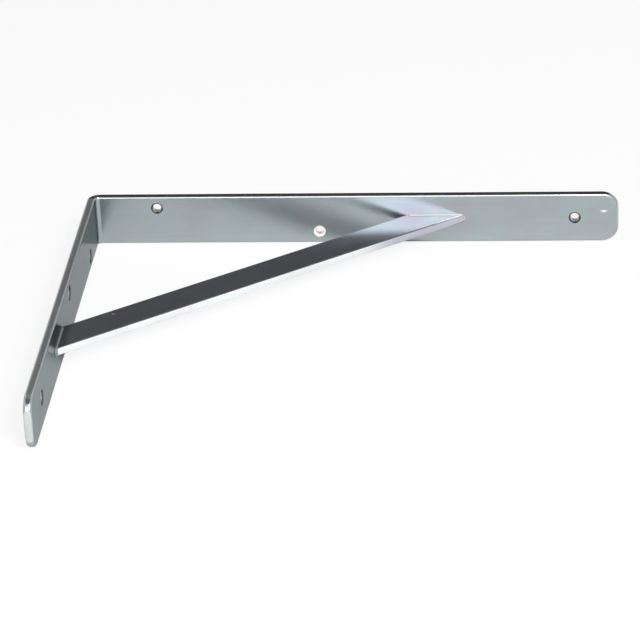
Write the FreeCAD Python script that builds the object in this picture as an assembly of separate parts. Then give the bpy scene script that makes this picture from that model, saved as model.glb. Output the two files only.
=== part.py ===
import FreeCAD, Part
import math
import os

# Gallows shelf bracket, in millimetres. A flat strap is bent to an L: its long arm carries the shelf
# and its short arm is screwed to the wall. A flat bar, welded across the angle, braces the two arms.
# The wall is the plane x = 0, the shelf lies on the plane z = 0, and y = 0 halves the strap's width.

# Strap, with arm lengths from the wall plane and from the shelf plane to the free ends
strap_width = 30.0
strap_thickness = 4.5
shelf_arm_length = 306.0
wall_arm_length = 250.0
bend_inner_radius = 2.5
end_corner_radius = 9.5
strap_edge_radius = 1.5

# Screw holes, from the outer corner of the bend along each arm, and back from its free end
shelf_hole_diameter = 5.0
wall_hole_diameter = 7.0
countersink_depth = 1.0
hole_rim_break = 0.3
hole_stagger = 7.5
shelf_first_hole = 40.0
shelf_middle_hole = 134.0
shelf_end_hole_margin = 25.0
wall_first_hole = 36.0
wall_middle_hole = 113.0
wall_end_hole_margin = 32.0

# Brace bar, placed by where its upper edge meets the shelf arm and the wall arm
brace_width = 21.5
brace_thickness = 4.5
brace_edge_radius = 1.2
brace_shelf_reach = 183.0
brace_wall_drop = 142.0

# Weld beads in the corners between the bar's broad sides and the strap
weld_leg = 2.0
weld_bulge = 0.25

tolerance = 0.001
half_width = strap_width / 2
bend_outer_radius = bend_inner_radius + strap_thickness

# Slope of the brace and the length of its cut end on each arm
brace_run = FreeCAD.Vector(brace_shelf_reach - strap_thickness, 0, brace_wall_drop - strap_thickness)
brace_angle = math.atan2(brace_run.z, brace_run.x)
shelf_mitre = brace_width / math.sin(brace_angle)
wall_mitre = brace_width / math.cos(brace_angle)


def quarter_arc(centre, radius, start, end):
    """Quarter circle about centre, from start to end, in the plane of those points."""
    toward = (start - centre) + (end - centre)
    return Part.Arc(start, centre + toward.normalize() * radius, end).toShape()


def strap_blank():
    """The bent strap with square edges: its L-shaped side view, drawn across the width."""

    def point(x, z):
        return FreeCAD.Vector(x, -half_width, z)

    bend_centre = point(bend_outer_radius, -bend_outer_radius)
    wall_foot = point(0, -wall_arm_length)
    outer_low = point(0, -bend_outer_radius)
    outer_high = point(bend_outer_radius, 0)
    shelf_tip = point(shelf_arm_length, 0)
    shelf_tip_under = point(shelf_arm_length, -strap_thickness)
    inner_high = point(bend_outer_radius, -strap_thickness)
    inner_low = point(strap_thickness, -bend_outer_radius)
    wall_foot_front = point(strap_thickness, -wall_arm_length)

    outline = Part.Wire([
        Part.makeLine(wall_foot, outer_low),
        quarter_arc(bend_centre, bend_outer_radius, outer_low, outer_high),
        Part.makeLine(outer_high, shelf_tip),
        Part.makeLine(shelf_tip, shelf_tip_under),
        Part.makeLine(shelf_tip_under, inner_high),
        quarter_arc(bend_centre, bend_inner_radius, inner_high, inner_low),
        Part.makeLine(inner_low, wall_foot_front),
        Part.makeLine(wall_foot_front, wall_foot),
    ])
    return Part.Face(outline).extrude(FreeCAD.Vector(0, strap_width, 0))


def crosses_thickness(edge):
    """True for the short edges that run through the strap from its back to its front."""
    return abs(edge.Length - strap_thickness) < tolerance and edge.BoundBox.YLength < tolerance


def is_bend_line(edge):
    """True for the lines across the full width where the flat arms meet the bend."""
    return edge.BoundBox.YLength > strap_width - tolerance


def screw_hole(mouth, direction, diameter):
    """Cutter for one hole: sunk at its mouth for the screw's head, its far rim broken."""
    radius = diameter / 2
    far_rim = mouth + direction * (strap_thickness - hole_rim_break)
    drill = Part.makeCylinder(radius, strap_thickness, mouth, direction)
    sink = Part.makeCone(radius + countersink_depth, radius, countersink_depth, mouth, direction)
    far_break = Part.makeCone(radius, radius + hole_rim_break, hole_rim_break, far_rim, direction)
    return drill.fuse([sink, far_break])


def screw_holes():
    """All hole cutters: each arm has a staggered pair and one on its mid-line near the free end."""
    up = FreeCAD.Vector(0, 0, 1)
    to_wall = FreeCAD.Vector(-1, 0, 0)
    shelf_places = [
        (shelf_first_hole, -hole_stagger),
        (shelf_middle_hole, hole_stagger),
        (shelf_arm_length - shelf_end_hole_margin, 0),
    ]
    wall_places = [
        (wall_first_hole, hole_stagger),
        (wall_middle_hole, -hole_stagger),
        (wall_arm_length - wall_end_hole_margin, 0),
    ]
    cutters = []
    for x, y in shelf_places:
        mouth = FreeCAD.Vector(x, y, -strap_thickness)
        cutters.append(screw_hole(mouth, up, shelf_hole_diameter))
    for drop, y in wall_places:
        mouth = FreeCAD.Vector(strap_thickness, y, -drop)
        cutters.append(screw_hole(mouth, to_wall, wall_hole_diameter))
    return cutters


def bent_strap():
    """The finished strap: rounded end corners, rolled edges and screw holes."""
    blank = strap_blank()
    corners = [edge for edge in blank.Edges if crosses_thickness(edge)]
    rounded = blank.makeFillet(end_corner_radius, corners)
    rims = [edge for edge in rounded.Edges if not crosses_thickness(edge) and not is_bend_line(edge)]
    rolled = rounded.makeFillet(strap_edge_radius, rims)
    return rolled.cut(screw_holes())


def runs_along_brace(edge):
    """True for the bar's four long edges."""
    direction = edge.tangentAt(edge.FirstParameter)
    return direction.cross(brace_run).Length < tolerance * brace_run.Length


def brace_bar():
    """The flat bar between the arms, cut at both ends to lie flat on the strap."""
    back = -brace_thickness / 2
    upper_wall = FreeCAD.Vector(strap_thickness, back, -brace_wall_drop)
    upper_shelf = FreeCAD.Vector(brace_shelf_reach, back, -strap_thickness)
    lower_shelf = upper_shelf + FreeCAD.Vector(shelf_mitre, 0, 0)
    lower_wall = upper_wall - FreeCAD.Vector(0, 0, wall_mitre)
    outline = Part.makePolygon([upper_wall, upper_shelf, lower_shelf, lower_wall, upper_wall])
    bar = Part.Face(outline).extrude(FreeCAD.Vector(0, brace_thickness, 0))
    long_edges = [edge for edge in bar.Edges if runs_along_brace(edge)]
    return bar.makeFillet(brace_edge_radius, long_edges)


def weld_bead(corner, on_strap, on_brace, course):
    """One fillet bead: its section has a leg on the strap and one on the bar, and follows course."""
    strap_toe = corner + on_strap * weld_leg
    brace_toe = corner + on_brace * weld_leg
    outward = (on_strap + on_brace).normalize()
    crown = (strap_toe + brace_toe) / 2 + outward * weld_bulge
    section = Part.Wire([
        Part.makeLine(corner, strap_toe),
        Part.Arc(strap_toe, crown, brace_toe).toShape(),
        Part.makeLine(brace_toe, corner),
    ])
    return Part.Face(section).extrude(course)


def shelf_weld():
    """The beads under the shelf arm, one on each broad side of the bar, kept on its flat."""
    clear_of_edge = brace_edge_radius / math.sin(brace_angle)
    clear_of_tip = weld_leg / math.tan(brace_angle)
    course = FreeCAD.Vector(shelf_mitre - 2 * clear_of_edge - clear_of_tip, 0, 0)
    down = FreeCAD.Vector(0, 0, -1)
    start = brace_shelf_reach + clear_of_edge
    beads = []
    for side in (-1, 1):
        corner = FreeCAD.Vector(start, side * brace_thickness / 2, -strap_thickness)
        beads.append(weld_bead(corner, FreeCAD.Vector(0, side, 0), down, course))
    return Part.makeCompound(beads)


def wall_weld():
    """The beads on the wall arm, one on each broad side of the bar, kept on its flat."""
    clear_of_edge = brace_edge_radius / math.cos(brace_angle)
    clear_of_tip = weld_leg * math.tan(brace_angle)
    course = FreeCAD.Vector(0, 0, 2 * clear_of_edge + clear_of_tip - wall_mitre)
    outward = FreeCAD.Vector(1, 0, 0)
    start = -brace_wall_drop - clear_of_edge
    beads = []
    for side in (-1, 1):
        corner = FreeCAD.Vector(strap_thickness, side * brace_thickness / 2, start)
        beads.append(weld_bead(corner, FreeCAD.Vector(0, side, 0), outward, course))
    return Part.makeCompound(beads)


os.makedirs("parts", exist_ok=True)
for build_piece in (bent_strap, brace_bar, shelf_weld, wall_weld):
    build_piece().exportStep(f"parts/{build_piece.__name__}.step")
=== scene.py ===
import math

import bmesh
import bpy
from bpy.props import FloatProperty, FloatVectorProperty, IntProperty, PointerProperty
from mathutils import Matrix, Vector


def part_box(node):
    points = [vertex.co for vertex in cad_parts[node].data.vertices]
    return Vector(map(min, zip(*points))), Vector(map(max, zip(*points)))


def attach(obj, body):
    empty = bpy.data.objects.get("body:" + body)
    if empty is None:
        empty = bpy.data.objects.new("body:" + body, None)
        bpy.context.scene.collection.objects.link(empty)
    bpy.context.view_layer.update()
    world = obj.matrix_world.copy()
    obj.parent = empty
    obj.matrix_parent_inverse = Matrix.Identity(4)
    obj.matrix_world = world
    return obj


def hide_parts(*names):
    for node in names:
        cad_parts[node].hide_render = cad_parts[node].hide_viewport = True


bl_info = {
    "name": "Gallows Shelf Bracket",
    "version": (1, 0, 0),
    "blender": (4, 5, 0),
    "location": "View3D > Sidebar > Bracket",
    "description": "Finishes a zinc plated gallows shelf bracket and lays it on a pale studio floor",
    "category": "Object",
}

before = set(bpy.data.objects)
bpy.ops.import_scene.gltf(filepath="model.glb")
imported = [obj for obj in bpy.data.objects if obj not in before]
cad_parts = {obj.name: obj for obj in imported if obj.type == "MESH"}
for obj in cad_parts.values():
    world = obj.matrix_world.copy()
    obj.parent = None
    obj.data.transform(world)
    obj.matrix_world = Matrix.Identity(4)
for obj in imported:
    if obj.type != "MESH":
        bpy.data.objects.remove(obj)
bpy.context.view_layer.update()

MM = 0.001

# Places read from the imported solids: the strap, the bar across it, and where its ends are welded
strap_low, strap_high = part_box("bent_strap")
brace_low, brace_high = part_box("brace_bar")
shelf_weld_low, shelf_weld_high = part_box("shelf_weld")
wall_weld_low, wall_weld_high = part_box("wall_weld")

# The bar's lower edge runs from the lowest point of its box to the farthest one
BRACE_SLOPE = math.atan2(brace_high.z - brace_low.z, brace_high.x - brace_low.x)
BRACE_ALONG = Vector((math.cos(BRACE_SLOPE), 0, math.sin(BRACE_SLOPE)))
BRACE_DOWN = Vector((math.sin(BRACE_SLOPE), 0, -math.cos(BRACE_SLOPE)))
BRACE_WIDTH = 21.5 * MM

# The wall weld starts on the wall arm's inner face
STRAP_THICKNESS = wall_weld_low.x

# Screw holes, in millimetres: along the arm from the bend's outer corner, and off the strap's mid-line.
# Then the radii of their bores, how much wider their cones are, and how far a spot reaches past each.
SHELF_HOLES = [(40, -7.5), (134, 7.5), (281, 0)]
WALL_HOLES = [(36, 7.5), (113, -7.5), (218, 0)]
SHELF_BORE = 2.5
WALL_BORE = 3.5
CONE_WIDTH = 1.0
CONE_MARGIN = 0.05
BORE_MARGIN = 0.1

# Spots of the plating, by middle and half size: the heat of the shelf weld, near which the painted rim
# highlight
# # is left off, and small pale frosted spots on the strap's free end and on the bar
WELD_HEAT = [(Vector((202, 0, -4.5)) * MM, Vector((70, 12, 60)) * MM)]
STRAP_MARKS = [(Vector((297.6, -4.1, -4.5)) * MM, Vector((2.4, 1.2, 1)) * MM)]
BAR_MARKS = [(Vector((30.1, -2.25, -128.3)) * MM, Vector((1.2, 1, 0.9)) * MM)]

# Half lengths, in millimetres, of spots that reach through the strap and along a whole arm
THROUGH = 1000
ENDLESS = 10000

# Nearness to a spot's middle that already counts as fully inside the spot
SPOT_RIM = 0.05

# Painted highlight on the rims, in from the edge: where the brightening starts and where it is full
RIM_HIGHLIGHT_START = 0.9 * MM
RIM_HIGHLIGHT_FULL = 0.4 * MM

# Heights of the plating's relief: waves as wide as its clouds, and its grain on the flats and the welds
WAVE_HEIGHT = 0.06 * MM
FLAT_GRAIN_HEIGHT = 0.01 * MM
WELD_GRAIN_HEIGHT = 0.018 * MM

# Weld beads: rings to a ripple, sizes of the rings nearest an end, and a slower swell from ring to ring
RINGS_PER_RIPPLE = 5
END_TAPER = {0: 0.3, 1: 0.66, 2: 0.9}
SWELL = 0.7
SWELL_TURN = 0.23

# The bracket is photographed lying on one edge of its strap. In the lying frame X runs along the shelf
# arm, Y away from the camera and Z up from the floor.
LYING = Matrix.Translation((0, strap_high.y, 0)) @ Matrix.Rotation(math.radians(90), 4, "X")

# The point in the lying frame that the lamps face, and how far the floor lies under the bracket
STAGE_MIDDLE = (0.13, -0.1, 0)
FLOOR_GAP = 0.2 * MM


def linear(hex_code):
    """Linear colour of an sRGB hex code."""
    channels = [int(hex_code[i:i + 2], 16) / 255 for i in (1, 3, 5)]
    return [c / 12.92 if c <= 0.04045 else ((c + 0.055) / 1.055) ** 2.4 for c in channels]


def opaque(colour):
    """A colour property as the four numbers that a node's socket takes."""
    return (*colour, 1.0)


def add_node(tree, kind, settings=None, inputs=None):
    """One node, with its own settings, and its sockets set to values or linked to other sockets."""
    node = tree.nodes.new(kind)
    for name, value in (settings or {}).items():
        setattr(node, name, value)
    for name, value in (inputs or {}).items():
        if isinstance(value, bpy.types.NodeSocket):
            tree.links.new(value, node.inputs[name])
        else:
            node.inputs[name].default_value = value
    return node


class BracketFinish(bpy.types.PropertyGroup):
    """Colours and texture sizes of the plating, with the painted highlights and shade laid on it."""

    strap_zinc: FloatVectorProperty(
        name="Strap zinc", description="Plating on the strap's broad faces", subtype="COLOR",
        default=linear("#ADB4B6"), min=0, max=1)
    # Painted highlight: the wall arm's edges and the cut ends are painted brighter than the flats, for the
    # bright reflection they show
    strap_rim_highlight: FloatVectorProperty(
        name="Strap rim highlight", description="Painted highlight: brighter plating on the wall arm's edges and the cut ends",
        subtype="COLOR", default=linear("#D6D9D9"), min=0, max=1)
    bar_zinc: FloatVectorProperty(
        name="Bar zinc", description="Plating on the bar's broad faces", subtype="COLOR",
        default=linear("#C6C7CF"), min=0, max=1)
    # Painted highlight: the bar's rolled edges are painted almost white, for the bright reflection they show
    bar_rim_highlight: FloatVectorProperty(
        name="Bar rim highlight", description="Painted highlight: brighter plating on the bar's rolled edges", subtype="COLOR",
        default=linear("#FDFEFE"), min=0, max=1)
    # Small pale, rougher spots at the listed places on the strap's free end and on the bar
    mark_zinc: FloatVectorProperty(
        name="Mark zinc", description="Plating on small pale spots",
        subtype="COLOR", default=linear("#F4F4F2"), min=0, max=1)
    green_cast: FloatVectorProperty(
        name="Green cast", description="Tint where the plating's film turns a little green",
        subtype="COLOR", default=linear("#F6FFFB"), min=0, max=1)
    lilac_cast: FloatVectorProperty(
        name="Lilac cast", description="Tint where the plating's film turns a little violet",
        subtype="COLOR", default=linear("#FCFAFF"), min=0, max=1)
    heat_cast: FloatVectorProperty(
        name="Heat cast", description="Tint that the welding heat leaves under the plating",
        subtype="COLOR", default=linear("#FFF8FC"), min=0, max=1)
    # Painted shade: the shelf arm's edges are painted darker, standing in for the dark reflection along them
    painted_edge_shade: FloatVectorProperty(
        name="Shelf edge shade", description="Painted shade: darker plating along the shelf arm's edges",
        subtype="COLOR", default=linear("#8C9090"), min=0, max=1)
    edge_shade_reach: FloatProperty(
        name="Shelf edge shade reach", description="How far the painted shade reaches in from the shelf arm's edges",
        default=0.8 * MM, unit="LENGTH")
    frosted_reach: FloatProperty(
        name="Frosted reach", description="How far the frosted plating reaches in from the wall arm's edges",
        default=1.3 * MM, unit="LENGTH")
    # Painted shade: the countersinks' cones are painted dark for the shade in them
    countersink_shade_zinc: FloatVectorProperty(
        name="Countersink shade", description="Painted shade: dark plating on the cones of the screw holes",
        subtype="COLOR", default=linear("#5A5E60"), min=0, max=1)
    # Painted highlight: the bores are painted pale for the bright reflection in them; their frost is
    # roughness
    bore_highlight_zinc: FloatVectorProperty(
        name="Bore highlight", description="Painted highlight: pale frosted plating in the bores of the screw holes",
        subtype="COLOR", default=linear("#F4F4F2"), min=0, max=1)
    edge_zinc: FloatVectorProperty(
        name="Edge-on zinc", description="Share of light that the flats mirror when seen almost edge-on",
        subtype="COLOR", default=linear("#B6B8B8"), min=0, max=1)
    weld_zinc: FloatVectorProperty(
        name="Weld zinc", description="Plating over the weld beads", subtype="COLOR",
        default=linear("#C4C5C0"), min=0, max=1)
    streak_length: FloatProperty(
        name="Streak length", description="Length of a rolling streak along the flat",
        default=60 * MM, unit="LENGTH")
    streak_width: FloatProperty(
        name="Streak width", description="Width of a rolling streak, drawn wide enough to show",
        default=0.9 * MM, unit="LENGTH")
    cloud_size: FloatProperty(
        name="Cloud size", description="Size of the patches where the plating changes its cast",
        default=28 * MM, unit="LENGTH")
    grain_size: FloatProperty(
        name="Grain size", description="Size of the plating's fine grain, drawn coarse enough to show",
        default=0.7 * MM, unit="LENGTH")


class BracketWeld(bpy.types.PropertyGroup):
    """Sizes of the weld beads."""

    shelf_radius: FloatProperty(
        name="Shelf bead radius", description="Radius of the shelf bead's round section",
        default=1.7 * MM, unit="LENGTH")
    wall_radius: FloatProperty(
        name="Wall bead radius", description="Radius of the wall bead's round section",
        default=1.8 * MM, unit="LENGTH")
    sink: FloatProperty(
        name="Bead sink", description="How deep the middle of the bead's section lies in strap and bar",
        default=0.75 * MM, unit="LENGTH")
    ripple_pitch: FloatProperty(
        name="Ripple pitch", description="Distance from one ripple to the next",
        default=2.2 * MM, unit="LENGTH")
    shelf_ripple: FloatProperty(
        name="Shelf ripple", description="Share of the shelf bead's radius that a ripple takes",
        default=0.02, min=0, max=0.3)
    wall_ripple: FloatProperty(
        name="Wall ripple", description="Share of the wall bead's radius that a ripple takes",
        default=0.025, min=0, max=0.3)
    ring_corners: IntProperty(
        name="Section corners", description="Corners of the bead's round section", default=24, min=8)
    shelf_nose: FloatProperty(
        name="Shelf nose", description="From the bar's upper tip back to the middle of the bead's turn",
        default=3.2 * MM, unit="LENGTH")
    wall_nose: FloatProperty(
        name="Wall nose", description="From the bar's lower tip back to the middle of the bead's turn",
        default=1.6 * MM, unit="LENGTH")


class BracketStage(bpy.types.PropertyGroup):
    """Floor, room, dark cloth, lamps and camera."""

    floor_colour: FloatVectorProperty(
        name="Floor", description="Colour of the floor", subtype="COLOR",
        default=linear("#F8F8F8"), min=0, max=1)
    seen_glow: FloatProperty(
        name="Seen glow", description="Share of plain white in the floor where the camera sees it",
        default=0.86, min=0, max=1)
    mirrored_glow: FloatProperty(
        name="Mirrored glow", description="Share of plain white in the floor where the metal mirrors it",
        default=0.05, min=0, max=1)
    room_colour: FloatVectorProperty(
        name="Room", description="Light of the room all around", subtype="COLOR",
        default=linear("#FFFFFF"), min=0, max=1)
    room_level: FloatProperty(
        name="Room level", description="Strength of the room's light on matt surfaces; it is seen at 1",
        default=0.55, min=0, max=1)
    flag_colour: FloatVectorProperty(
        name="Flag", description="Dark cloth hung above and behind the bracket", subtype="COLOR",
        default=linear("#888888"), min=0, max=1)
    flag_size: FloatProperty(
        name="Flag size", description="Half the dark cloth's height", default=3.33, unit="LENGTH")
    flag_narrowing: FloatProperty(
        name="Flag narrowing", description="Width of the dark cloth as a share of its height", default=0.45)
    flag_distance: FloatProperty(
        name="Flag distance", description="From the bracket to the dark cloth", default=2.0, unit="LENGTH")
    flag_tilt: FloatProperty(
        name="Flag tilt", description="Turn of the dark cloth about the shelf arm's direction",
        default=math.radians(154), subtype="ANGLE")
    floor_size: FloatProperty(
        name="Floor size", description="Half the floor's width", default=4.0, unit="LENGTH")
    key_power: FloatProperty(
        name="Key lamp", description="Power of the softbox at the right of the camera", default=22.0,
        unit="POWER")
    key_size: FloatVectorProperty(
        name="Key size", description="Width and height of that softbox", size=2, default=(0.45, 0.45),
        unit="LENGTH")
    key_place: FloatVectorProperty(
        name="Key place", description="Place of that softbox in the lying frame",
        default=(0.648, -1.21, 1.03), subtype="XYZ", unit="LENGTH")
    front_power: FloatProperty(
        name="Front lamp", description="Power of the softbox behind the camera", default=8.5,
        unit="POWER")
    front_size: FloatVectorProperty(
        name="Front size", description="Width and height of that softbox", size=2, default=(1.2, 0.8),
        unit="LENGTH")
    front_place: FloatVectorProperty(
        name="Front place", description="Place of that softbox in the lying frame",
        default=(0.0, -1.75, 0.9), subtype="XYZ", unit="LENGTH")
    elevation: FloatProperty(
        name="Camera elevation", description="How far the camera looks down on the floor",
        default=math.radians(27.13), subtype="ANGLE")
    turn: FloatProperty(
        name="Camera turn", description="Turn of the camera about the floor's upright",
        default=math.radians(4.72), subtype="ANGLE")
    roll: FloatProperty(
        name="Camera roll", description="Tilt of the camera about its own axis",
        default=math.radians(-2.35), subtype="ANGLE")
    target: FloatVectorProperty(
        name="Camera target", description="Point in the lying frame that the camera looks at",
        default=(137.4 * MM, -70 * MM, -16.8 * MM), subtype="XYZ", unit="LENGTH")
    distance: FloatProperty(
        name="Camera distance", description="From the camera to its target", default=1.6127,
        unit="LENGTH")
    lens: FloatProperty(
        name="Lens", description="Focal length in millimetres on a 36 mm sensor", default=161.29)


def nearness(tree, place, spots):
    """How near the surface is to the nearest of some egg-shaped spots: 1 at a middle, 0 at a rim."""
    near = 0.0
    for centre, half_size in spots:
        inside = add_node(
            tree, "ShaderNodeMapping", {"vector_type": "TEXTURE"},
            {"Vector": place, "Location": centre, "Scale": half_size}).outputs["Vector"]
        fade = add_node(
            tree, "ShaderNodeTexGradient", {"gradient_type": "SPHERICAL"}, {"Vector": inside}).outputs[1]
        near = add_node(
            tree, "ShaderNodeMath", {"operation": "MAXIMUM"}, {0: fade, 1: near}).outputs["Value"]
    return near


def rolled_zinc(name, finish, zinc, rim_highlight_zinc, along, across, rims, spots):
    """Bright zinc plate on rolled steel: a cool semi-gloss metal that mirrors its surroundings softly,
    with faint streaks along the rolling direction, a cast that drifts to green and lilac and turns pink
    near the shelf weld, rims painted brighter as a highlight except there, shelf arm edges painted darker
    as shade for their dark reflection, frosted edges on the wall arm, countersinks painted dark as shade,
    bores painted pale as a highlight and frosted, and small pale frosted spots."""
    material = bpy.data.materials.new(name)
    material.use_nodes = True
    tree = material.node_tree
    tree.nodes.clear()
    place = add_node(tree, "ShaderNodeTexCoord").outputs["Object"]
    lengthwise = add_node(
        tree, "ShaderNodeVectorMath", {"operation": "DOT_PRODUCT"}, {0: place, 1: along}).outputs["Value"]
    sides = [
        add_node(
            tree, "ShaderNodeVectorMath", {"operation": "DOT_PRODUCT"},
            {0: place, 1: way}).outputs["Value"]
        for way in across
    ]
    crosswise = add_node(
        tree, "ShaderNodeMath", {"operation": "MINIMUM"}, {0: sides[0], 1: sides[-1]}).outputs["Value"]
    flat = add_node(
        tree, "ShaderNodeCombineXYZ", None, {"X": lengthwise, "Y": crosswise}).outputs["Vector"]
    streak_scale = (1 / finish.streak_length, 1 / finish.streak_width, 1)
    streak_place = add_node(
        tree, "ShaderNodeVectorMath", {"operation": "MULTIPLY"},
        {0: flat, 1: streak_scale}).outputs["Vector"]
    streaks = add_node(
        tree, "ShaderNodeTexNoise", {"noise_dimensions": "2D"},
        {"Vector": streak_place, "Scale": 1.0, "Detail": 3.0, "Roughness": 0.6}).outputs[0]
    clouds = add_node(
        tree, "ShaderNodeTexNoise", None,
        {"Vector": place, "Scale": 1 / finish.cloud_size, "Detail": 3.0, "Roughness": 0.55})
    grain = add_node(
        tree, "ShaderNodeTexNoise", None,
        {"Vector": place, "Scale": 1 / finish.grain_size, "Detail": 2.0, "Roughness": 0.5}).outputs[0]
    # Mask of the painted rim highlight, near each listed edge
    rim = 0.0
    for direction, reach in rims:
        out = add_node(
            tree, "ShaderNodeVectorMath", {"operation": "DOT_PRODUCT"},
            {0: place, 1: direction}).outputs["Value"]
        near = add_node(
            tree, "ShaderNodeMapRange", None,
            {"Value": out, "From Min": reach - RIM_HIGHLIGHT_START, "From Max": reach - RIM_HIGHLIGHT_FULL}).outputs["Result"]
        rim = add_node(tree, "ShaderNodeMath", {"operation": "MAXIMUM"}, {0: near, 1: rim}).outputs["Value"]
    mark = nearness(tree, place, spots["marks"])
    heat = nearness(tree, place, spots["heat"])
    # The painted rim highlight is left off near the shelf weld
    rim_highlight_gate = add_node(
        tree, "ShaderNodeMapRange", None,
        {"Value": heat, "From Max": 0.4, "To Min": 1.0, "To Max": 0.0}).outputs["Result"]
    rim = add_node(tree, "ShaderNodeMath", {"operation": "MULTIPLY"}, {0: rim, 1: rim_highlight_gate}).outputs["Value"]
    edge_shade_mask, frosted, in_countersink_shade, in_bore_highlight = [
        add_node(
            tree, "ShaderNodeMapRange", None,
            {"Value": nearness(tree, place, spots.get(kind, [])), "From Max": SPOT_RIM}).outputs["Result"]
        for kind in ("edge_shade_mask", "frosted", "countersink_shades", "bores")
    ]

    cast = add_node(tree, "ShaderNodeSeparateColor", None, {"Color": clouds.outputs["Color"]})
    streak_shade = add_node(
        tree, "ShaderNodeMapRange", None,
        {"Value": streaks, "From Min": 0.3, "From Max": 0.7, "To Min": 0.96, "To Max": 1.02})
    cloud_shade = add_node(
        tree, "ShaderNodeMapRange", None,
        {"Value": clouds.outputs[0], "From Min": 0.3, "From Max": 0.7, "To Min": 0.92, "To Max": 1.04})
    shade = add_node(
        tree, "ShaderNodeMath", {"operation": "MULTIPLY"},
        {0: streak_shade.outputs["Result"], 1: cloud_shade.outputs["Result"]}).outputs["Value"]
    # Painted highlight: the rims take the brighter rim colour
    colour = add_node(
        tree, "ShaderNodeMix", {"data_type": "RGBA"},
        {0: rim, 6: opaque(zinc), 7: opaque(rim_highlight_zinc)}).outputs[2]
    green, lilac = [
        add_node(
            tree, "ShaderNodeMapRange", None,
            {"Value": cast.outputs[channel], "From Min": 0.42, "From Max": 0.7}).outputs["Result"]
        for channel in ("Red", "Blue")
    ]
    colour = add_node(
        tree, "ShaderNodeVectorMath", {"operation": "SCALE"}, {0: colour, "Scale": shade}).outputs["Vector"]
    layers = [
        (green, finish.green_cast, "MULTIPLY"),
        (lilac, finish.lilac_cast, "MULTIPLY"),
        (heat, finish.heat_cast, "MULTIPLY"),
        # Painted shade: darker plating mixed in along the shelf arm's edges
        (edge_shade_mask, finish.painted_edge_shade, "MIX"),
        (mark, finish.mark_zinc, "MIX"),
        # Painted shade in the countersinks
        (in_countersink_shade, finish.countersink_shade_zinc, "MIX"),
        # Painted highlight in the bores
        (in_bore_highlight, finish.bore_highlight_zinc, "MIX"),
    ]
    for amount, tint, blend in layers:
        colour = add_node(
            tree, "ShaderNodeMix", {"data_type": "RGBA", "blend_type": blend},
            {0: amount, 6: colour, 7: opaque(tint)}).outputs[2]
    roughness = add_node(
        tree, "ShaderNodeMapRange", None,
        {"Value": streaks, "From Min": 0.25, "From Max": 0.75, "To Min": 0.2, "To Max": 0.25},
    ).outputs["Result"]
    for amount, frost in ((mark, 0.5), (frosted, 0.18), (in_bore_highlight, 0.35)):
        roughness = add_node(
            tree, "ShaderNodeMath", {"operation": "MULTIPLY_ADD"},
            {0: amount, 1: frost, 2: roughness}).outputs["Value"]
    waves = add_node(
        tree, "ShaderNodeBump", None,
        {"Strength": 1.0, "Distance": WAVE_HEIGHT, "Height": clouds.outputs[0]}).outputs["Normal"]
    relief = add_node(
        tree, "ShaderNodeBump", None,
        {"Strength": 0.2, "Distance": FLAT_GRAIN_HEIGHT, "Height": grain, "Normal": waves}).outputs["Normal"]
    metal = add_node(
        tree, "ShaderNodeBsdfPrincipled", None,
        {"Base Color": colour, "Metallic": 1.0, "Roughness": roughness, "Normal": relief,
         "Specular Tint": opaque(finish.edge_zinc)})
    add_node(tree, "ShaderNodeOutputMaterial", None, {"Surface": metal.outputs["BSDF"]})
    return material


def weld_zinc(name, finish):
    """Zinc plate over arc weld: a frosted grain that scatters light, where the flats mirror, and that is
    darker towards the wall than at the shelf."""
    material = bpy.data.materials.new(name)
    material.use_nodes = True
    tree = material.node_tree
    tree.nodes.clear()
    place = add_node(tree, "ShaderNodeTexCoord").outputs["Object"]
    grain = add_node(
        tree, "ShaderNodeTexNoise", None,
        {"Vector": place, "Scale": 1 / finish.grain_size, "Detail": 4.0, "Roughness": 0.6}).outputs[0]
    shade = add_node(
        tree, "ShaderNodeMapRange", None,
        {"Value": grain, "From Min": 0.3, "From Max": 0.7, "To Min": 0.88, "To Max": 1.04}).outputs["Result"]
    off_wall = add_node(tree, "ShaderNodeSeparateXYZ", None, {"Vector": place}).outputs["X"]
    # Darker towards the wall: the weld's colour falls to half at the wall
    darker_towards_wall = add_node(
        tree, "ShaderNodeMapRange", None,
        {"Value": off_wall, "From Max": brace_high.x, "To Min": 0.5}).outputs["Result"]
    shade = add_node(
        tree, "ShaderNodeMath", {"operation": "MULTIPLY"}, {0: shade, 1: darker_towards_wall}).outputs["Value"]
    colour = add_node(
        tree, "ShaderNodeVectorMath", {"operation": "SCALE"},
        {0: tuple(finish.weld_zinc), "Scale": shade}).outputs["Vector"]
    roughness = add_node(
        tree, "ShaderNodeMapRange", None,
        {"Value": grain, "From Min": 0.3, "From Max": 0.7, "To Min": 0.6, "To Max": 0.72}).outputs["Result"]
    relief = add_node(
        tree, "ShaderNodeBump", None,
        {"Strength": 0.4, "Distance": WELD_GRAIN_HEIGHT, "Height": grain}).outputs["Normal"]
    metal = add_node(
        tree, "ShaderNodeBsdfPrincipled", None,
        {"Base Color": colour, "Metallic": 1.0, "Roughness": roughness, "Normal": relief})
    add_node(tree, "ShaderNodeOutputMaterial", None, {"Surface": metal.outputs["BSDF"]})
    return material


def finish_node(node, material):
    """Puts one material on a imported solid."""
    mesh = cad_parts[node].data
    mesh.materials.clear()
    mesh.materials.append(material)


def new_piece(name, bm, material):
    """Makes a shown piece of the bracket from a finished bmesh."""
    bmesh.ops.recalc_face_normals(bm, faces=bm.faces)
    for face in bm.faces:
        face.smooth = True
    mesh = bpy.data.meshes.new(name)
    bm.to_mesh(mesh)
    bm.free()
    mesh.materials.append(material)
    piece = bpy.data.objects.new(name, mesh)
    bpy.context.scene.collection.objects.link(piece)
    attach(piece, "root")
    return piece


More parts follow.
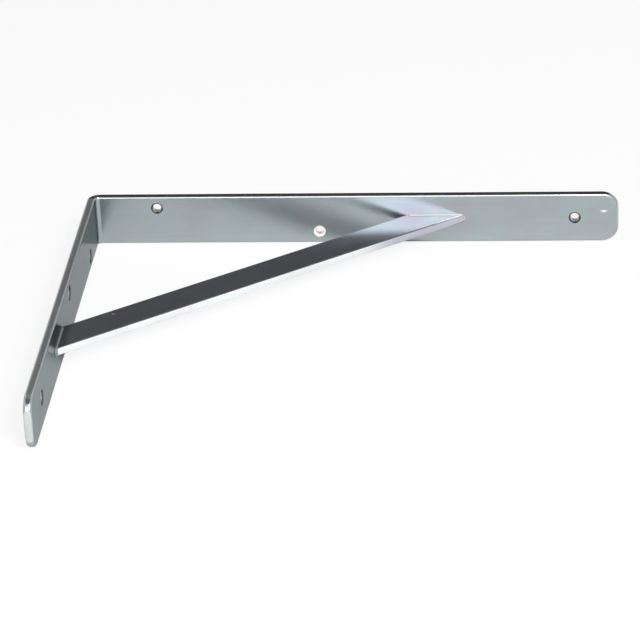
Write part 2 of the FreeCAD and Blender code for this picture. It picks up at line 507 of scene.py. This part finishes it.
def hole_spots(shelf_holes, shelf_radius, wall_holes, wall_radius):
    """Spots, in metres, that reach through the strap at some of its holes."""
    spots = [
        (Vector((along, off, 0)) * MM, Vector((shelf_radius, shelf_radius, THROUGH)) * MM)
        for along, off in shelf_holes
    ]
    spots += [
        (Vector((0, off, -along)) * MM, Vector((THROUGH, wall_radius, wall_radius)) * MM)
        for along, off in wall_holes
    ]
    return spots


def straight(run, step):
    """Moves that carry a bead's end along a run in equal steps."""
    count = max(1, round(run.length / step))
    return [Matrix.Translation(run / count)] * count


def round_tip(start, run, step):
    """Moves down one side of the bar from start, around its tip at y = 0 and back up its other side."""
    turn_in = start + run
    pivot = Vector((turn_in.x, 0, turn_in.z))
    axis = (turn_in - pivot).cross(run)
    count = round(math.pi * abs(start.y) / step)
    turn = Matrix.Translation(pivot) @ Matrix.Rotation(math.pi / count, 4, axis) @ Matrix.Translation(-pivot)
    return straight(run, step) + [turn] * count + straight(-run, step)


def lay_bead(bm, corners, radius, ripple_depth, start, heading, moves):
    """A rippled bead: a round section grown step by step along its moves, with tapered ends."""
    facing = heading.to_track_quat("Z", "Y").to_matrix().to_4x4()
    ring = bmesh.ops.create_circle(
        bm, cap_ends=True, segments=corners, radius=radius,
        matrix=Matrix.Translation(start) @ facing)["verts"]
    cap = ring[0].link_faces[0]
    middle = start.copy()
    last = 1.0
    for i in range(len(moves) + 1):
        if i:
            grown = bmesh.ops.extrude_face_region(bm, geom=[cap])["geom"]
            if i > 1:
                bmesh.ops.delete(bm, geom=[cap], context="FACES_ONLY")
            ring = [part for part in grown if isinstance(part, bmesh.types.BMVert)]
            cap = next(part for part in grown if isinstance(part, bmesh.types.BMFace))
            bmesh.ops.transform(bm, matrix=moves[i - 1], verts=ring)
            middle = moves[i - 1] @ middle
        ripple = math.cos(math.tau * i / RINGS_PER_RIPPLE) + SWELL * math.sin(SWELL_TURN * i)
        size = (1 + ripple_depth * ripple) * END_TAPER.get(min(i, len(moves) - i), 1.0)
        growth = Vector((1, 1, 1)) * (size / last)
        bmesh.ops.scale(bm, vec=growth, space=Matrix.Translation(-middle), verts=ring)
        last = size


class BRACKET_OT_finish_flats(bpy.types.Operator):
    """Plate the bent strap and the brace bar"""

    bl_idname = "bracket.finish_flats"
    bl_label = "Finish strap and brace"

    def execute(self, context):
        finish = context.scene.bracket_finish
        # Edges and cut ends that get the painted rim highlight
        strap_highlight_rims = [
            (Vector((0, 1, 0)), strap_high.y),
            (Vector((0, -1, 0)), -strap_low.y),
            (Vector((1, 0, 0)), strap_high.x),
            (Vector((0, 0, -1)), -strap_low.z),
        ]
        strap_edges = (strap_low.y, strap_high.y)
        core = STRAP_THICKNESS / 2
        cone = CONE_WIDTH + CONE_MARGIN
        outer_holes = SHELF_HOLES[::2]
        strap_spots = {
            "marks": STRAP_MARKS,
            "heat": WELD_HEAT,
            # Painted shade along both edges of the shelf arm
            "edge_shade_mask": [
                (Vector((0, edge, -core)), Vector((ENDLESS * MM, finish.edge_shade_reach, STRAP_THICKNESS)))
                for edge in strap_edges
            ],
            "frosted": [
                (Vector((core, edge, 0)), Vector((STRAP_THICKNESS, finish.frosted_reach, ENDLESS * MM)))
                for edge in strap_edges
            ],
            # Painted shade on the cones of the outer shelf holes and of all wall holes
            "countersink_shades": hole_spots(outer_holes, SHELF_BORE + cone, WALL_HOLES, WALL_BORE + cone),
            # Painted highlight in the bores
            "bores": hole_spots(outer_holes, SHELF_BORE + BORE_MARGIN, WALL_HOLES, WALL_BORE + BORE_MARGIN),
        }
        # The middle hole of the shelf arm is painted pale as a highlight and frosted on its cone too
        strap_spots["bores"] += hole_spots(SHELF_HOLES[1:2], SHELF_BORE + CONE_WIDTH + BORE_MARGIN, [], 0)
        # Each arm is thin in X or in Z, so X + Z runs along both, and the lesser of X + Y and Y - Z across
        strap = rolled_zinc(
            "zinc_plated_rolled_strap", finish, finish.strap_zinc, finish.strap_rim_highlight,
            (1, 0, 1), [(1, 1, 0), (0, 1, -1)], strap_highlight_rims, strap_spots)
        finish_node("bent_strap", strap)

        lower_edge = BRACE_DOWN.dot(Vector((brace_high.x, 0, brace_high.z)))
        # Both long edges of the bar get the painted rim highlight
        bar_highlight_rims = [(BRACE_DOWN, lower_edge), (-BRACE_DOWN, BRACE_WIDTH - lower_edge)]
        bar_spots = {"marks": BAR_MARKS, "heat": WELD_HEAT}
        bar = rolled_zinc(
            "zinc_plated_rolled_bar", finish, finish.bar_zinc, finish.bar_rim_highlight,
            BRACE_ALONG, [BRACE_DOWN + Vector((0, 1, 0))], bar_highlight_rims, bar_spots)
        finish_node("brace_bar", bar)
        return {"FINISHED"}


class BRACKET_OT_lay_welds(bpy.types.Operator):
    """Lay the rippled weld beads at both ends of the brace bar"""

    bl_idname = "bracket.lay_welds"
    bl_label = "Lay weld beads"

    def execute(self, context):
        weld = context.scene.bracket_weld
        metal = weld_zinc("zinc_plated_arc_weld", context.scene.bracket_finish)
        side = brace_high.y - weld.sink
        under_arm = shelf_weld_high.z + weld.sink
        off_wall = wall_weld_low.x - weld.sink

        start = Vector((shelf_weld_low.x, side, under_arm))
        run = Vector((brace_high.x - weld.shelf_nose - start.x, 0, 0))
        bead = self.lay_around(
            "shelf_weld_bead", weld, metal, weld.shelf_radius, weld.shelf_ripple, start, run)
        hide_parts("shelf_weld")

        start = Vector((off_wall, side, wall_weld_high.z))
        run = Vector((0, 0, brace_low.z + weld.wall_nose - start.z))
        bead = self.lay_around(
            "wall_weld_bead", weld, metal, weld.wall_radius, weld.wall_ripple, start, run)
        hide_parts("wall_weld")
        return {"FINISHED"}

    def lay_around(self, name, weld, metal, radius, ripple_depth, start, run):
        """One bead down a side of the bar, around its tip and back along the other side."""
        bm = bmesh.new()
        moves = round_tip(start, run, weld.ripple_pitch / RINGS_PER_RIPPLE)
        lay_bead(bm, weld.ring_corners, radius, ripple_depth, start, run, moves)
        return new_piece(name, bm, metal)


class BRACKET_OT_set_stage(bpy.types.Operator):
    """Set the floor, the lamps, the room's light and the camera"""

    bl_idname = "bracket.set_stage"
    bl_label = "Set the stage"

    def execute(self, context):
        scene = context.scene
        stage = scene.bracket_stage
        self.lay_floor(scene, stage)
        self.light_room(scene, stage)
        self.hang_flag(scene, stage)
        self.hang_lamp(scene, "key_softbox", stage.key_power, stage.key_size, stage.key_place)
        self.hang_lamp(scene, "front_softbox", stage.front_power, stage.front_size, stage.front_place)
        self.place_camera(scene, stage)
        scene.view_settings.view_transform = "Standard"
        return {"FINISHED"}

    def lay_floor(self, scene, stage):
        """A plain pale floor under the lying bracket."""
        clear = Matrix.Translation((0, 0, -FLOOR_GAP))
        self.spread_sheet(
            scene, "floor", stage.floor_size, LYING @ clear, stage.floor_colour, stage.seen_glow,
            stage.mirrored_glow)

    def hang_flag(self, scene, stage):
        """A dark cloth above and behind the bracket, mirrored in upward faces and unseen by the camera."""
        tilt = Matrix.Rotation(stage.flag_tilt, 4, "X")
        away = Matrix.Translation((0, 0, -stage.flag_distance))
        raised = Matrix.Translation((STAGE_MIDDLE[0], 0, 0)) @ tilt @ away
        narrow = Matrix.Diagonal((stage.flag_narrowing, 1, 1, 1))
        flag = self.spread_sheet(
            scene, "flag", stage.flag_size, LYING @ raised @ narrow, stage.flag_colour, 0.0, 0.0)
        flag.visible_camera = False

    def spread_sheet(self, scene, name, half_size, matrix, colour, seen_glow, mirrored_glow):
        """A flat matt sheet, with a share of plain white, that is seen only from the bracket's side."""
        bm = bmesh.new()
        bmesh.ops.create_grid(bm, x_segments=1, y_segments=1, size=half_size, matrix=matrix)
        mesh = bpy.data.meshes.new(name)
        bm.to_mesh(mesh)
        bm.free()
        material = bpy.data.materials.new("matt_" + name)
        material.use_nodes = True
        tree = material.node_tree
        tree.nodes.clear()
        paint = add_node(tree, "ShaderNodeBsdfDiffuse", None, {"Color": opaque(colour)})
        white = add_node(tree, "ShaderNodeEmission")
        seen, mirrored = self.seen(tree)
        share = add_node(
            tree, "ShaderNodeMath", {"operation": "MULTIPLY"}, {0: seen, 1: seen_glow}).outputs["Value"]
        share = add_node(
            tree, "ShaderNodeMath", {"operation": "MULTIPLY_ADD"},
            {0: mirrored, 1: mirrored_glow, 2: share}).outputs["Value"]
        front = add_node(
            tree, "ShaderNodeMixShader", None,
            {0: share, 1: paint.outputs["BSDF"], 2: white.outputs["Emission"]})
        clear_back = add_node(tree, "ShaderNodeBsdfTransparent")
        behind = add_node(tree, "ShaderNodeNewGeometry").outputs["Backfacing"]
        sheet = add_node(
            tree, "ShaderNodeMixShader", None,
            {0: behind, 1: front.outputs["Shader"], 2: clear_back.outputs["BSDF"]})
        add_node(tree, "ShaderNodeOutputMaterial", None, {"Surface": sheet.outputs["Shader"]})
        mesh.materials.append(material)
        piece = bpy.data.objects.new(name, mesh)
        scene.collection.objects.link(piece)
        return piece

    def seen(self, tree):
        """Two sockets: 1 where the camera sees a surface, and 1 where another surface shows it."""
        path = add_node(tree, "ShaderNodeLightPath").outputs
        mirrored = add_node(
            tree, "ShaderNodeMath", {"operation": "MAXIMUM"},
            {0: path["Is Glossy Ray"], 1: path["Is Transmission Ray"]})
        return path["Is Camera Ray"], mirrored.outputs["Value"]

    def light_room(self, scene, stage):
        """An evenly white room, whose light falls on matt surfaces at a lower level."""
        world = bpy.data.worlds.new("studio_room")
        scene.world = world
        world.use_nodes = True
        tree = world.node_tree
        tree.nodes.clear()
        seen, mirrored = self.seen(tree)
        shown = add_node(
            tree, "ShaderNodeMath", {"operation": "MAXIMUM"}, {0: seen, 1: mirrored}).outputs["Value"]
        level = add_node(
            tree, "ShaderNodeMapRange", None, {"Value": shown, "To Min": stage.room_level}).outputs["Result"]
        light = add_node(
            tree, "ShaderNodeBackground", None, {"Color": opaque(stage.room_colour), "Strength": level})
        add_node(tree, "ShaderNodeOutputWorld", None, {"Surface": light.outputs["Background"]})

    def hang_lamp(self, scene, name, power, size, place):
        """One softbox at a place in the lying frame, aimed at the bracket."""
        lamp = bpy.data.lights.new(name, "AREA")
        lamp.shape = "RECTANGLE"
        lamp.size, lamp.size_y = size
        lamp.energy = power
        softbox = bpy.data.objects.new(name, lamp)
        scene.collection.objects.link(softbox)
        place = Vector(place)
        facing = (Vector(STAGE_MIDDLE) - place).to_track_quat("-Z", "Y").to_matrix().to_4x4()
        softbox.matrix_world = LYING @ Matrix.Translation(place) @ facing
        softbox.visible_camera = False

    def place_camera(self, scene, stage):
        """The camera of the photograph, above the floor and in front of the bracket."""
        camera = bpy.data.cameras.new("photo_camera")
        camera.lens = stage.lens
        camera.sensor_width = 36.0
        camera.clip_end = 20.0
        viewer = bpy.data.objects.new("photo_camera", camera)
        scene.collection.objects.link(viewer)
        look = Matrix.Rotation(stage.turn, 4, "Z")
        look = look @ Matrix.Rotation(math.radians(90) - stage.elevation, 4, "X")
        look = look @ Matrix.Rotation(stage.roll, 4, "Z")
        step_back = Matrix.Translation((0, 0, stage.distance))
        viewer.matrix_world = LYING @ Matrix.Translation(stage.target) @ look @ step_back
        scene.camera = viewer


class BRACKET_PT_pieces(bpy.types.Panel):
    """Lists the bracket's steps in the sidebar"""

    bl_idname = "BRACKET_PT_pieces"
    bl_label = "Gallows Shelf Bracket"
    bl_space_type = "VIEW_3D"
    bl_region_type = "UI"
    bl_category = "Bracket"

    def draw(self, context):
        for step in STEPS:
            self.layout.operator(step.bl_idname)


STEPS = (BRACKET_OT_finish_flats, BRACKET_OT_lay_welds, BRACKET_OT_set_stage)
GROUPS = {"bracket_finish": BracketFinish, "bracket_weld": BracketWeld, "bracket_stage": BracketStage}


def register():
    for cls in (*GROUPS.values(), *STEPS, BRACKET_PT_pieces):
        bpy.utils.register_class(cls)
    for name, group in GROUPS.items():
        setattr(bpy.types.Scene, name, PointerProperty(type=group))


def unregister():
    for name in GROUPS:
        delattr(bpy.types.Scene, name)
    for cls in reversed((*GROUPS.values(), *STEPS, BRACKET_PT_pieces)):
        bpy.utils.unregister_class(cls)


def main():
    register()
    bpy.ops.bracket.finish_flats()
    bpy.ops.bracket.lay_welds()
    bpy.ops.bracket.set_stage()


if __name__ == "__main__":
    main()
